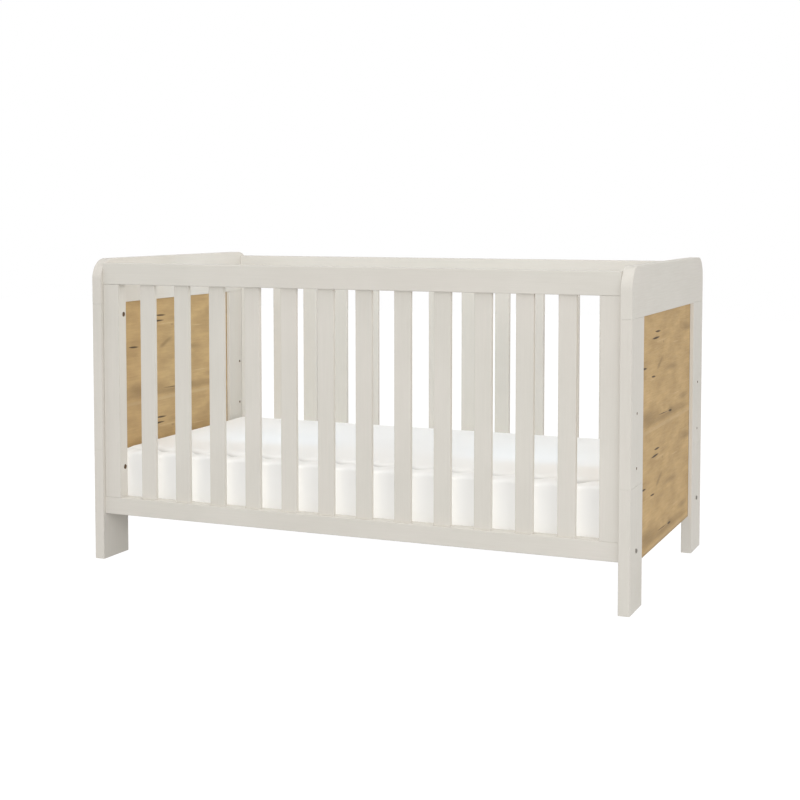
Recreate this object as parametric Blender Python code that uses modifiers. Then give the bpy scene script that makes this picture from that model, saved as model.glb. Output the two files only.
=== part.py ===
"""Baby crib: two panelled ends, two slatted sides and a mattress on a base with three height settings.

The crib stands on the plane z = 0, centred on the Z axis. +X runs along its length and +Y to the rear.
Metres throughout. Change a driving dimension below and everything that fits to it follows.
"""

import math

import bmesh
import bpy
from mathutils import Matrix, Vector

# ---- driving dimensions -------------------------------------------------------------------------------

# mattress, a standard cot-bed size
MATTRESS_LENGTH = 1.400
MATTRESS_WIDTH = 0.700
MATTRESS_THICKNESS = 0.130
MATTRESS_EDGE = 0.012
MATTRESS_END_CLEARANCE = 0.003
MATTRESS_SIDE_CLEARANCE = 0.004

# ends
END_HEIGHT = 0.805
END_THICKNESS = 0.028
END_RAIL_HEIGHT = 0.1205
END_CORNER_RADIUS = 0.054
POST_WIDTH = 0.116
POST_SEAM_HEIGHT = 0.294
POST_SEAM_SIZE = 0.0006
PANEL_THICKNESS = 0.0075
PANEL_BOTTOM = 0.101
PANEL_TONGUE = 0.008

# sides
SIDE_THICKNESS = 0.035
SIDE_RECESS = 0.009
SIDE_DROP = 0.012
SIDE_BOTTOM = 0.122
TOP_RAIL_HEIGHT = 0.056
BOTTOM_RAIL_HEIGHT = 0.046
STILE_WIDTH = 0.048
SLAT_COUNT = 12
SLAT_WIDTH = 0.045
SLAT_THICKNESS = 0.012
SLAT_TENON = 0.012

# mattress base
BASE_BOLT_HEIGHT = 0.1425
BASE_HOLE_STEPS = (0.0, 0.193, 0.321)
BASE_HOLE_INSET = 0.055
BASE_RAIL_HEIGHT = 0.038
BASE_TOP_ABOVE_BOLT = 0.0152
BASE_RAIL_THICKNESS = 0.020
BASE_CLEARANCE = 0.002
DECK_THICKNESS = 0.006
VENT_RADIUS = 0.020
VENT_SPACING = 0.170
VENT_STEPS = 12

# fasteners
BOLT_RADIUS = 0.003
HEAD_RADIUS = 0.0055
HEAD_HEIGHT = 0.0025
HEAD_CROWN = 0.001
SOCKET_RADIUS = 0.0023
SOCKET_DEPTH = 0.0018
SIDE_BOLT_INSET = 0.080
SIDE_BOLT_INSIDE = 0.006
SIDE_BOLT_GRIP = 0.020
SIDE_SINK_RADIUS = 0.0062
SIDE_SINK_DEPTH = 0.008
BOLT_STEPS = 16
SOCKET_SIDES = 6

# fits and edges
TOUCH = 0.0003
BOLT_CLEARANCE = 0.0005
EDGE_ROUND = 0.0015
SLAT_EDGE_ROUND = 0.003
BOARD_EDGE = 0.0005
CORNER_STEPS = 16
NOTCH_STEPS = 8
WELD = 0.00001
STRAIGHT = math.radians(1)
OVERSHOOT = 0.005

# looks: linear RGB, roughness, metallic
WHITE_PAINT = ((0.83, 0.80, 0.74), 0.45, 0.0)
OAK_FACE = ((0.46, 0.32, 0.18), 0.5, 0.0)
BASE_BOARD = ((0.80, 0.77, 0.70), 0.6, 0.0)
MATTRESS_COVER = ((0.90, 0.89, 0.86), 0.9, 0.0)
DARK_STEEL = ((0.30, 0.28, 0.25), 0.4, 1.0)

# ---- places worked out from them ----------------------------------------------------------------------

END_IN = MATTRESS_LENGTH / 2 + MATTRESS_END_CLEARANCE
END_OUT = END_IN + END_THICKNESS
END_MIDDLE = (END_IN + END_OUT) / 2
SIDE_IN = MATTRESS_WIDTH / 2 + MATTRESS_SIDE_CLEARANCE
SIDE_OUT = SIDE_IN + SIDE_THICKNESS
SIDE_MIDDLE = (SIDE_IN + SIDE_OUT) / 2
SIDE_BOLT_Y = SIDE_MIDDLE - SIDE_BOLT_INSIDE
HALF_WIDTH = SIDE_OUT + SIDE_RECESS
POST_IN = HALF_WIDTH - POST_WIDTH
POST_MIDDLE = HALF_WIDTH - POST_WIDTH / 2
BASE_BOLT_Y = HALF_WIDTH - BASE_HOLE_INSET
POST_TOP = END_HEIGHT - END_RAIL_HEIGHT
SIDE_TOP = END_HEIGHT - SIDE_DROP
TOP_RAIL_LOW = SIDE_TOP - TOP_RAIL_HEIGHT
BOTTOM_RAIL_HIGH = SIDE_BOTTOM + BOTTOM_RAIL_HEIGHT
RAIL_END = END_IN - TOUCH
STILE_IN = RAIL_END - STILE_WIDTH
BASE_TOP = BASE_BOLT_HEIGHT + BASE_TOP_ABOVE_BOLT
BASE_LOW = BASE_TOP - BASE_RAIL_HEIGHT
DECK_LOW = BASE_TOP - DECK_THICKNESS
BEARER_TOP = DECK_LOW - TOUCH
BASE_X = END_IN - BASE_CLEARANCE
BASE_Y = SIDE_IN - BASE_CLEARANCE
BEARER_X = BASE_X - BASE_RAIL_THICKNESS - TOUCH
BEARER_Y = BASE_Y - BASE_RAIL_THICKNESS
HOLE_RADIUS = BOLT_RADIUS + BOLT_CLEARANCE
SIDE_BOLT_HEIGHTS = {
    "lower": BOTTOM_RAIL_HIGH + SIDE_BOLT_INSET,
    "upper": TOP_RAIL_LOW - SIDE_BOLT_INSET,
}
ENDS = {"left": -1, "right": 1}
SIDES = {"front": -1, "rear": 1}


# ---- modelling helpers --------------------------------------------------------------------------------

def clear_scene():
    for thing in list(bpy.data.objects):
        bpy.data.objects.remove(thing, do_unlink=True)


def make_collection(name):
    collection = bpy.data.collections.new(name)
    bpy.context.scene.collection.children.link(collection)
    return collection


def make_material(name, look):
    colour, roughness, metallic = look
    material = bpy.data.materials.new(name)
    material.use_nodes = True
    shader = material.node_tree.nodes["Principled BSDF"]
    shader.inputs["Base Color"].default_value = (*colour, 1.0)
    shader.inputs["Roughness"].default_value = roughness
    shader.inputs["Metallic"].default_value = metallic
    material.diffuse_color = (*colour, 1.0)
    return material


clear_scene()
PARTS = make_collection("baby_crib")
CUTTERS = make_collection("cutters")
MATERIALS = {
    "white_paint": make_material("white_paint", WHITE_PAINT),
    "oak_face": make_material("oak_face", OAK_FACE),
    "base_board": make_material("base_board", BASE_BOARD),
    "mattress_cover": make_material("mattress_cover", MATTRESS_COVER),
    "dark_steel": make_material("dark_steel", DARK_STEEL),
}


def place(name, mesh, material_name, location):
    """Puts a mesh in the scene as one of the crib's pieces."""
    piece = bpy.data.objects.new(name, mesh)
    piece.location = location
    mesh.materials.append(MATERIALS[material_name])
    PARTS.objects.link(piece)
    return piece


def place_cutter(name, mesh, location):
    """Puts a mesh in the scene as a shape that only cuts other pieces."""
    cutter = bpy.data.objects.new(name, mesh)
    cutter.location = location
    cutter.hide_render = True
    cutter.display_type = "WIRE"
    CUTTERS.objects.link(cutter)
    return cutter


def box_mesh(name, boxes):
    """A mesh of separate boxes, each a (low corner, high corner) pair."""
    shape = bmesh.new()
    for low, high in boxes:
        size = Vector(high) - Vector(low)
        middle = (Vector(high) + Vector(low)) / 2
        matrix = Matrix.Translation(middle) @ Matrix.Diagonal((*size, 1.0))
        bmesh.ops.create_cube(shape, size=1.0, matrix=matrix)
    mesh = bpy.data.meshes.new(name)
    shape.to_mesh(mesh)
    shape.free()
    return mesh


def rod_mesh(name, rods, axis, steps=BOLT_STEPS):
    """A mesh of separate rods along X or Z, each a (middle, radius, length) triple."""
    turn = Matrix.Rotation(math.radians(90), 4, "Y") if axis == "X" else Matrix.Identity(4)
    shape = bmesh.new()
    for middle, radius, length in rods:
        matrix = Matrix.Translation(middle) @ turn
        bmesh.ops.create_cone(shape, cap_ends=True, segments=steps, radius1=radius,
                              radius2=radius, depth=length, matrix=matrix)
    mesh = bpy.data.meshes.new(name)
    shape.to_mesh(mesh)
    shape.free()
    return mesh


def soften(piece, width, segments=2, chosen=None):
    """Rounds a piece's edges: all of them, or those for whose two ends chosen(start, end) is true."""
    bevel = piece.modifiers.new("edges", "BEVEL")
    bevel.width = width
    bevel.segments = segments
    bevel.limit_method = "ANGLE"
    if chosen:
        mesh = piece.data
        places = [vertex.co for vertex in mesh.vertices]
        weights = mesh.attributes.new("bevel_weight_edge", "FLOAT", "EDGE")
        for edge, weight in zip(mesh.edges, weights.data):
            weight.value = float(chosen(*(places[i] for i in edge.vertices)))
        bevel.limit_method = "WEIGHT"
    return piece


def cut(piece, cutter):
    """Takes a cutter's shape out of a piece."""
    boolean = piece.modifiers.new("cut_" + cutter.name, "BOOLEAN")
    boolean.operation = "DIFFERENCE"
    boolean.solver = "EXACT"
    boolean.object = cutter
    return piece


def box(name, low, high, material_name, edge=EDGE_ROUND, segments=2, along=None):
    """One box-shaped piece, its origin at its middle. All its edges are rounded, or only the four along
    one axis, so that its ends butt squarely on their neighbours."""
    middle = (Vector(low) + Vector(high)) / 2
    half = (Vector(high) - Vector(low)) / 2
    piece = place(name, box_mesh(name, [(-half, half)]), material_name, middle)
    if along is None:
        return soften(piece, edge, segments)
    axis = "XYZ".index(along)
    return soften(piece, edge, segments, lambda start, end: abs(end[axis] - start[axis]) > WELD)


def outline_mesh(name, points, thickness):
    """A flat outline in the Y-Z plane, given as (y, z) points, with its thickness along X."""
    curve = bpy.data.curves.new(name, "CURVE")
    curve.dimensions = "2D"
    curve.fill_mode = "BOTH"
    curve.extrude = thickness / 2
    spline = curve.splines.new("POLY")
    spline.points.add(len(points) - 1)
    for point, (y, z) in zip(spline.points, points):
        point.co = (y, z, 0.0, 1.0)
    spline.use_cyclic_u = True
    guide = bpy.data.objects.new(name, curve)
    PARTS.objects.link(guide)
    bpy.context.view_layer.update()
    mesh = bpy.data.meshes.new_from_object(guide.evaluated_get(bpy.context.evaluated_depsgraph_get()))
    bpy.data.objects.remove(guide)
    mesh.name = name
    shape = bmesh.new()
    shape.from_mesh(mesh)
    bmesh.ops.remove_doubles(shape, verts=shape.verts, dist=WELD)
    # the curve lies in X-Y, so its x becomes y, its y becomes z and its depth becomes x
    stand_up = Matrix(((0, 0, 1, 0), (1, 0, 0, 0), (0, 1, 0, 0), (0, 0, 0, 1)))
    bmesh.ops.transform(shape, matrix=stand_up, verts=shape.verts)
    bmesh.ops.recalc_face_normals(shape, faces=shape.faces)
    bmesh.ops.dissolve_limit(shape, angle_limit=STRAIGHT, verts=shape.verts, edges=shape.edges)
    shape.to_mesh(mesh)
    shape.free()
    return mesh


def arc(centre, radius, start, stop, steps):
    """Points (y, z) along a round stretch, angles in degrees from +y towards +z."""
    angles = [math.radians(start + (stop - start) * i / steps) for i in range(steps + 1)]
    return [(centre[0] + radius * math.cos(a), centre[1] + radius * math.sin(a)) for a in angles]


# ---- fasteners ----------------------------------------------------------------------------------------

def bolt_mesh(name, shank):
    """A socket-head bolt turned about Z: the head's underside at z = 0, the shank down to -shank."""
    profile = [
        (0.0, HEAD_HEIGHT),
        (HEAD_RADIUS - HEAD_CROWN, HEAD_HEIGHT),
        (HEAD_RADIUS, HEAD_HEIGHT - HEAD_CROWN),
        (HEAD_RADIUS, 0.0),
        (BOLT_RADIUS, 0.0),
        (BOLT_RADIUS, -shank + BOLT_RADIUS / 2),
        (BOLT_RADIUS / 2, -shank),
        (0.0, -shank),
    ]
    mesh = bpy.data.meshes.new(name)
    mesh.from_pydata([(r, 0.0, z) for r, z in profile], [(i, i + 1) for i in range(len(profile) - 1)], [])
    return mesh


def bolt(name, seat, direction, shank):
    """A bolt whose head sits on the point seat and faces along X by direction (+1 or -1)."""
    piece = place(name, bolt_mesh(name, shank), "dark_steel", seat)
    piece.rotation_euler = (0.0, direction * math.radians(90), 0.0)
    turn = piece.modifiers.new("turned", "SCREW")
    turn.steps = BOLT_STEPS
    turn.render_steps = BOLT_STEPS
    turn.use_merge_vertices = True
    turn.merge_threshold = 0.00005
    socket_middle = Vector(seat) + Vector((direction * HEAD_HEIGHT, 0.0, 0.0))
    socket = rod_mesh(name + "_socket", [((0, 0, 0), SOCKET_RADIUS, 2 * SOCKET_DEPTH)], "X",
                      SOCKET_SIDES)
    return cut(piece, place_cutter(name + "_socket", socket, socket_middle))


# ---- ends ---------------------------------------------------------------------------------------------

def groove_box(low_y, high_y, low_z, high_z):
    """The groove that holds an end panel's tongue, centred in the end's thickness."""
    half = PANEL_THICKNESS / 2 + TOUCH
    return ((-half, low_y, low_z), (half, high_y, high_z))


def make_post(end, side):
    """A flat post that is also the leg, with its panel groove, base bolt holes and side bolt pilots."""
    x_sign, y_sign = ENDS[end], SIDES[side]
    name = f"{end}_{side}_post"
    inner, outer = sorted((y_sign * POST_IN, y_sign * HALF_WIDTH))
    post = box(name, (x_sign * END_MIDDLE - END_THICKNESS / 2, inner, 0.0),
               (x_sign * END_MIDDLE + END_THICKNESS / 2, outer, POST_TOP - TOUCH), "white_paint",
               along="Z")

    groove_far = y_sign * (POST_IN + PANEL_TONGUE + TOUCH)
    groove_near = y_sign * (POST_IN - OVERSHOOT)
    groove = groove_box(*sorted((groove_far, groove_near)), PANEL_BOTTOM - TOUCH, POST_TOP + OVERSHOOT)
    cut(post, place_cutter(name + "_groove", box_mesh(name, [groove]), (x_sign * END_MIDDLE, 0, 0)))

    holes = [((x_sign * END_MIDDLE, y_sign * BASE_BOLT_Y, BASE_BOLT_HEIGHT + step), HOLE_RADIUS,
              END_THICKNESS + 2 * OVERSHOOT) for step in BASE_HOLE_STEPS]
    pilot_length = SIDE_BOLT_GRIP + TOUCH + OVERSHOOT
    pilot_x = x_sign * (END_IN - OVERSHOOT + pilot_length / 2)
    holes += [((pilot_x, y_sign * SIDE_BOLT_Y, height), HOLE_RADIUS, pilot_length)
              for height in SIDE_BOLT_HEIGHTS.values()]
    cut(post, place_cutter(name + "_holes", rod_mesh(name, holes, "X"), (0, 0, 0)))

    middle = Vector((x_sign * END_MIDDLE, y_sign * POST_MIDDLE, POST_SEAM_HEIGHT))
    half = Vector((END_THICKNESS / 2, POST_WIDTH / 2, 0.0))
    seam = []
    for axis in (0, 1):
        for direction in (-1, 1):
            reach = half + Vector((OVERSHOOT, OVERSHOOT, POST_SEAM_SIZE / 2))
            low, high = middle - reach, middle + reach
            face = middle[axis] + direction * (half[axis] - POST_SEAM_SIZE)
            if direction > 0:
                low[axis] = face
            else:
                high[axis] = face
            seam.append((low, high))
    for number, strip in enumerate(seam):
        cut(post, place_cutter(f"{name}_seam_{number}", box_mesh(name, [strip]), (0, 0, 0)))
    return post


def make_end_rail(end):
    """The deep top rail of an end, its upper corners rounded, with the groove for the panel's top."""
    name = f"{end}_end_rail"
    corner = END_CORNER_RADIUS
    middle_y = HALF_WIDTH - corner
    points = arc((middle_y, END_HEIGHT - corner), corner, 0, 90, CORNER_STEPS)
    points += arc((-middle_y, END_HEIGHT - corner), corner, 90, 180, CORNER_STEPS)
    points += [(-HALF_WIDTH, POST_TOP), (HALF_WIDTH, POST_TOP)]
    mesh = outline_mesh(name, points, END_THICKNESS)
    rail = place(name, mesh, "white_paint", (ENDS[end] * END_MIDDLE, 0, 0))
    # the edges round its two faces, but for those that butt on the posts and the panel
    soften(rail, EDGE_ROUND, 2, lambda start, end: (abs(end.x - start.x) < WELD
                                                    and max(start.z, end.z) > POST_TOP + WELD))
    reach = POST_IN + PANEL_TONGUE + TOUCH
    groove = groove_box(-reach, reach, POST_TOP - OVERSHOOT, POST_TOP + PANEL_TONGUE + TOUCH)
    cutter = place_cutter(name + "_groove", box_mesh(name, [groove]), (ENDS[end] * END_MIDDLE, 0, 0))
    return cut(rail, cutter)


def make_end_panel(end):
    """The thin oak-faced panel, with tongues in both posts and in the top rail and a free lower edge."""
    middle = ENDS[end] * END_MIDDLE
    reach = POST_IN + PANEL_TONGUE
    return box(f"{end}_end_panel", (middle - PANEL_THICKNESS / 2, -reach, PANEL_BOTTOM),
               (middle + PANEL_THICKNESS / 2, reach, POST_TOP + PANEL_TONGUE), "oak_face",
               edge=BOARD_EDGE, segments=1)


# ---- sides --------------------------------------------------------------------------------------------

def slat_middles():
    """The x of each slat: equal gaps between the two stiles."""
    gap = (2 * STILE_IN - SLAT_COUNT * SLAT_WIDTH) / (SLAT_COUNT + 1)
    return [-STILE_IN + (i + 1) * gap + (i + 0.5) * SLAT_WIDTH for i in range(SLAT_COUNT)]


def make_side_rail(side, level, low_z, high_z):
    """A long rail that runs from end to end, with a mortise for each slat in its edge."""
    name = f"{side}_{level}_rail"
    near, far = sorted((SIDES[side] * SIDE_IN, SIDES[side] * SIDE_OUT))
    rail = box(name, (-RAIL_END, near, low_z), (RAIL_END, far, high_z), "white_paint", along="X")
    if level == "top":
        floor_z, mouth_z = low_z + SLAT_TENON + TOUCH, low_z - OVERSHOOT
    else:
        floor_z, mouth_z = high_z - SLAT_TENON - TOUCH, high_z + OVERSHOOT
    bottom, top = sorted((floor_z, mouth_z))
    half_x = SLAT_WIDTH / 2 + TOUCH
    half_y = SLAT_THICKNESS / 2 + TOUCH
    middle_y = SIDES[side] * SIDE_MIDDLE
    mortises = [((x - half_x, middle_y - half_y, bottom), (x + half_x, middle_y + half_y, top))
                for x in slat_middles()]
    return cut(rail, place_cutter(name + "_mortises", box_mesh(name, mortises), (0, 0, 0)))


def make_slats(side):
    """The upright slats, each with its ends seated in the rails' mortises."""
    middle_y = SIDES[side] * SIDE_MIDDLE
    for number, x in enumerate(slat_middles(), start=1):
        box(f"{side}_slat_{number:02d}",
            (x - SLAT_WIDTH / 2, middle_y - SLAT_THICKNESS / 2, BOTTOM_RAIL_HIGH - SLAT_TENON),
            (x + SLAT_WIDTH / 2, middle_y + SLAT_THICKNESS / 2, TOP_RAIL_LOW + SLAT_TENON),
            "white_paint", edge=SLAT_EDGE_ROUND, along="Z")


def make_stile(side, end):
    """The wider upright at each end of a side, drilled and counterbored for its two bolts."""
    name = f"{side}_{end}_stile"
    x_in, x_out = sorted((ENDS[end] * STILE_IN, ENDS[end] * RAIL_END))
    near, far = sorted((SIDES[side] * SIDE_IN, SIDES[side] * SIDE_OUT))
    stile = box(name, (x_in, near, BOTTOM_RAIL_HIGH + TOUCH), (x_out, far, TOP_RAIL_LOW - TOUCH),
                "white_paint", along="Z")
    middle_x = (x_in + x_out) / 2
    sink_length = SIDE_SINK_DEPTH + OVERSHOOT
    sink_x = ENDS[end] * (STILE_IN + SIDE_SINK_DEPTH - sink_length / 2)
    bolt_y = SIDES[side] * SIDE_BOLT_Y
    holes = [((middle_x, bolt_y, height), HOLE_RADIUS, STILE_WIDTH + 2 * OVERSHOOT)
             for height in SIDE_BOLT_HEIGHTS.values()]
    sinks = [((sink_x, bolt_y, height), SIDE_SINK_RADIUS, sink_length)
             for height in SIDE_BOLT_HEIGHTS.values()]
    cut(stile, place_cutter(name + "_holes", rod_mesh(name, holes, "X"), (0, 0, 0)))
    return cut(stile, place_cutter(name + "_sinks", rod_mesh(name, sinks, "X"), (0, 0, 0)))


def make_side_bolts(side, end):
    """Two bolts through a stile's edge into the post."""
    for level, height in SIDE_BOLT_HEIGHTS.items():
        seat_x = STILE_IN + SIDE_SINK_DEPTH - TOUCH
        seat = (ENDS[end] * seat_x, SIDES[side] * SIDE_BOLT_Y, height)
        bolt(f"{side}_{end}_side_bolt_{level}", seat, -ENDS[end], END_IN + SIDE_BOLT_GRIP - seat_x)


# ---- mattress base ------------------------------------------------------------------------------------

def make_base_end_rail(end):
    """A cross rail at one end of the base, notched from below so that it hangs on the two base bolts."""
    name = f"base_{end}_rail"
    x_in, x_out = sorted((ENDS[end] * (BASE_X - BASE_RAIL_THICKNESS), ENDS[end] * BASE_X))
    rail = box(name, (x_in, -BASE_Y, BASE_LOW), (x_out, BASE_Y, BASE_TOP), "base_board", along="Y")
    notch_radius = BOLT_RADIUS + TOUCH
    mouth = BASE_LOW - OVERSHOOT
    for side, y_sign in SIDES.items():
        y = y_sign * BASE_BOLT_Y
        points = arc((y, BASE_BOLT_HEIGHT), notch_radius, 0, 180, NOTCH_STEPS)
        points += [(y - notch_radius, mouth), (y + notch_radius, mouth)]
        notch = outline_mesh(f"{name}_{side}_notch", points, BASE_RAIL_THICKNESS + 2 * OVERSHOOT)
        cut(rail, place_cutter(f"{name}_{side}_notch", notch, ((x_in + x_out) / 2, 0, 0)))
    return rail


def make_bearers():
    """The long rails and the centre rail between the base's end rails, on which the deck lies."""
    for side, y_sign in SIDES.items():
        near, far = sorted((y_sign * BEARER_Y, y_sign * BASE_Y))
        box(f"base_{side}_rail", (-BEARER_X, near, BASE_LOW), (BEARER_X, far, BEARER_TOP), "base_board",
            along="X")
    half = BASE_RAIL_THICKNESS / 2
    reach = BEARER_Y - TOUCH
    box("base_centre_rail", (-half, -reach, BASE_LOW), (half, reach, BEARER_TOP), "base_board",
        along="Y")


def make_deck():
    """The thin deck between the end rails, its vents in even rows that miss the rails below."""
    deck = box("base_deck", (-BEARER_X, -BASE_Y, DECK_LOW), (BEARER_X, BASE_Y, BASE_TOP), "base_board",
               edge=BOARD_EDGE, segments=1)
    columns = int((BEARER_X - VENT_RADIUS) / VENT_SPACING)
    rows = int((BEARER_Y - VENT_RADIUS) / VENT_SPACING)
    vents = []
    for column in range(-columns, columns):
        for row in range(-rows, rows + 1):
            middle = ((column + 0.5) * VENT_SPACING, row * VENT_SPACING, DECK_LOW)
            vents.append((middle, VENT_RADIUS, 4 * DECK_THICKNESS))
    cutter = rod_mesh("base_deck_vents", vents, "Z", VENT_STEPS)
    return cut(deck, place_cutter("base_deck_vents", cutter, (0, 0, 0)))


def make_base_bolts():
    """One bolt through each post, on which the base hangs at its lowest height."""
    seat_x = END_OUT + TOUCH
    shank = seat_x - (BASE_X - BASE_RAIL_THICKNESS)
    for end, x_sign in ENDS.items():
        for side, y_sign in SIDES.items():
            seat = (x_sign * seat_x, y_sign * BASE_BOLT_Y, BASE_BOLT_HEIGHT)
            bolt(f"{end}_{side}_base_bolt", seat, x_sign, shank)


def make_mattress():
    """The foam mattress in its cover."""
    low = BASE_TOP + TOUCH
    return box("mattress", (-MATTRESS_LENGTH / 2, -MATTRESS_WIDTH / 2, low),
               (MATTRESS_LENGTH / 2, MATTRESS_WIDTH / 2, low + MATTRESS_THICKNESS), "mattress_cover",
               edge=MATTRESS_EDGE, segments=3)


# ---- the crib -----------------------------------------------------------------------------------------

def make_crib():
    for end in ENDS:
        make_end_rail(end)
        make_end_panel(end)
        for side in SIDES:
            make_post(end, side)
    for side in SIDES:
        make_side_rail(side, "top", TOP_RAIL_LOW, SIDE_TOP)
        make_side_rail(side, "bottom", SIDE_BOTTOM, BOTTOM_RAIL_HIGH)
        make_slats(side)
        for end in ENDS:
            make_stile(side, end)
            make_side_bolts(side, end)
    for end in ENDS:
        make_base_end_rail(end)
    make_bearers()
    make_deck()
    make_base_bolts()
    make_mattress()
    bpy.context.view_layer.update()


make_crib()
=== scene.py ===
import math

import bmesh
import bpy
import numpy as np
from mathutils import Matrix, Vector


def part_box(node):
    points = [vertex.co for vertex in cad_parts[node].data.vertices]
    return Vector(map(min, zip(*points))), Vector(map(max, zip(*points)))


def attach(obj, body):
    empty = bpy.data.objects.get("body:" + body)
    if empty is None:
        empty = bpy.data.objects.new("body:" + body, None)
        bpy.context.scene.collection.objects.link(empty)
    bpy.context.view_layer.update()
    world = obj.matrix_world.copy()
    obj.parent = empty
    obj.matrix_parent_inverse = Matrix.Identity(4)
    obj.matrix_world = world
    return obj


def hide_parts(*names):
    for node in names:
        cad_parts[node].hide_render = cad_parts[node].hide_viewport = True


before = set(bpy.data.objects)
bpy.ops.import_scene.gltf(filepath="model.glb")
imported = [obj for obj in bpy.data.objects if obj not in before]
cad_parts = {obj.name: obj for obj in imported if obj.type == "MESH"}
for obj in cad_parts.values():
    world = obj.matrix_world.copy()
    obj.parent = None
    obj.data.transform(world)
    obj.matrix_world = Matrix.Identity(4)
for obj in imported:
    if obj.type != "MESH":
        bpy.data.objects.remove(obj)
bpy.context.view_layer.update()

# Baby crib: looks for two panelled ends, two slatted sides, a mattress and its base.
# Metres, +Z up, +X along the crib, +Y to its rear side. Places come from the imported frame's own boxes.

# ---- finishes: linear RGB ------------------------------------------------------------------------------

PAINT_LIGHT = (0.652, 0.627, 0.572)
PAINT_DARK = (0.587, 0.563, 0.508)
PAINT_WORN = (0.680, 0.655, 0.605)
PAINT_WARM = (0.660, 0.612, 0.565)
OAK_LIGHT = (0.575, 0.395, 0.188)
OAK_MIDDLE = (0.410, 0.275, 0.128)
OAK_DARK = (0.245, 0.163, 0.076)
OAK_CRACK = (0.055, 0.034, 0.020)
OAK_PALE = (0.640, 0.480, 0.290)
BOARD_LIGHT = (0.700, 0.670, 0.610)
BOARD_DARK = (0.600, 0.560, 0.490)
COVER_WHITE = (0.880, 0.878, 0.866)
COVER_SHADE = (0.850, 0.848, 0.836)
# painted shade for the crease behind the mattress's front roll
CREASE_PAINTED_SHADE = (0.380, 0.372, 0.355)
STEEL_LIGHT = (0.640, 0.610, 0.560)
STEEL_DARK = (0.330, 0.310, 0.280)
RAW_WOOD = (0.170, 0.115, 0.070)


# ---- surfaces ------------------------------------------------------------------------------------------

SEWN_WITHIN = 1e-6


def grid_faces(rows, columns):
    """Quads of a grid of points stored row by row, turning from the row direction to the column one."""
    index = np.arange(rows * columns).reshape(rows, columns)
    corners = (index[:-1, :-1], index[1:, :-1], index[1:, 1:], index[:-1, 1:])
    return np.stack([corner.ravel() for corner in corners], axis=1)


def closed_mesh(name, patches):
    """One mesh from grids of points, sewn together where their borders meet."""
    points = np.concatenate([patch.reshape(-1, 3) for patch in patches])
    starts = np.cumsum([0] + [patch.shape[0] * patch.shape[1] for patch in patches[:-1]])
    faces = np.concatenate([grid_faces(*patch.shape[:2]) + start for patch, start in zip(patches, starts)])
    mesh = bpy.data.meshes.new(name)
    mesh.from_pydata(points.tolist(), [], faces.tolist())
    sewn = bmesh.new()
    sewn.from_mesh(mesh)
    bmesh.ops.remove_doubles(sewn, verts=sewn.verts, dist=SEWN_WITHIN)
    bmesh.ops.recalc_face_normals(sewn, faces=sewn.faces)
    sewn.to_mesh(mesh)
    sewn.free()
    mesh.shade_smooth()
    return mesh


def make_piece(name, mesh, body, slot_name, *nodes):
    """The mesh as a piece that rides on a body and stands for the nodes named, which it hides. The slot name
    is not used.
    """
    piece = bpy.data.objects.new(name, mesh)
    bpy.context.scene.collection.objects.link(piece)
    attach(piece, body)
    if nodes:
        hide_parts(*nodes)
    return piece


def flat_faces_first(piece):
    """Points on the border of a flat face shade with that face, so only the rounds look curved."""
    rule = piece.modifiers.new("flat faces first", "WEIGHTED_NORMAL")
    rule.weight = 100


def round_stations(half, radius, steps, spans):
    """Stations along one axis, from -half to half: equal spans over the flat, then each round in equal
    angles, at half - radius + radius * tan(angle) with the angle from 0 to 45 degrees."""
    end = half - radius + radius * np.tan(np.linspace(0, math.pi / 4, steps + 1))
    middle = np.linspace(radius - half, half - radius, spans + 1)
    return np.concatenate([-end[:0:-1], middle, end[1:]])


def round_block(low, high, radius, steps, spans):
    """The six grids of a block with every edge rounded: a point p of the sharp block moves to
    c + radius * (p - c) / |p - c|, where c is p held inside the block made smaller by the radius."""
    low, high = np.array(low), np.array(high)
    half = (high - low) / 2
    stations = [round_stations(half[axis], radius, steps, spans[axis]) for axis in range(3)]
    patches = []
    for axis, across, along in ((0, 1, 2), (1, 2, 0), (2, 0, 1)):
        for side in (-1, 1):
            patch = np.empty((len(stations[across]), len(stations[along]), 3))
            patch[..., axis] = side * half[axis]
            patch[..., across] = stations[across][:, None]
            patch[..., along] = stations[along][None, ::side]
            core = np.clip(patch, radius - half, half - radius)
            out = patch - core
            out /= np.linalg.norm(out, axis=2, keepdims=True)
            patches.append(core + radius * out + (low + high) / 2)
    return patches


# ---- camera, light and floor ---------------------------------------------------------------------------

SENSOR_WIDTH = 36.0
CAMERA_PLACE = (1.530, -3.6148, 0.9252)
CAMERA_TURN = 0.4029
CAMERA_DIP = 0.0598
CAMERA_LENS = 65.16
CAMERA_SHIFT = -0.125
FLOOR_REACH = 9.0
FLOOR_POINTS = 7
FLOOR_TONE = 0.48
FLOOR_SEEN_TONE = 0.10
FLOOR_GLOW = 0.97
ROOM_LIGHT = 0.40
SUN_SPREAD = 0.5
WHITE = (1.0, 1.0, 1.0)
COOL = (0.35, 0.68, 1.0)
LIGHTS = [
    # name, kind, place, target, strength, size or spread, colour, casts a shadow
    ("right soft box", "AREA", (2.9, -2.8, 1.4), (0.2, -0.1, 0.4), 18, 1.2, WHITE, True),
    ("overhead soft box", "AREA", (0, -0.2, 3.2), (0, 0, 0.3), 20, 2.6, WHITE, True),
    ("inner fill left", "AREA", (-0.4, -0.1, 0.56), (-0.45, 0.4, 0.46), 0.30, 0.4, COOL, False),
    ("inner fill right", "AREA", (0.4, -0.1, 0.56), (0.4, 0.4, 0.46), 0.30, 0.4, COOL, False),
    ("top fill", "SUN", (0.2, -0.4, 3), (0, 0, 0), 0.42, SUN_SPREAD, WHITE, False),
]
FILLS = 8
FILL_STRENGTH = 0.65
FILL_RISE = 0.25
FILL_TILT = 0.06
FILLS_WITH_SHADOWS = (1, 2, 5, 6)
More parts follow.
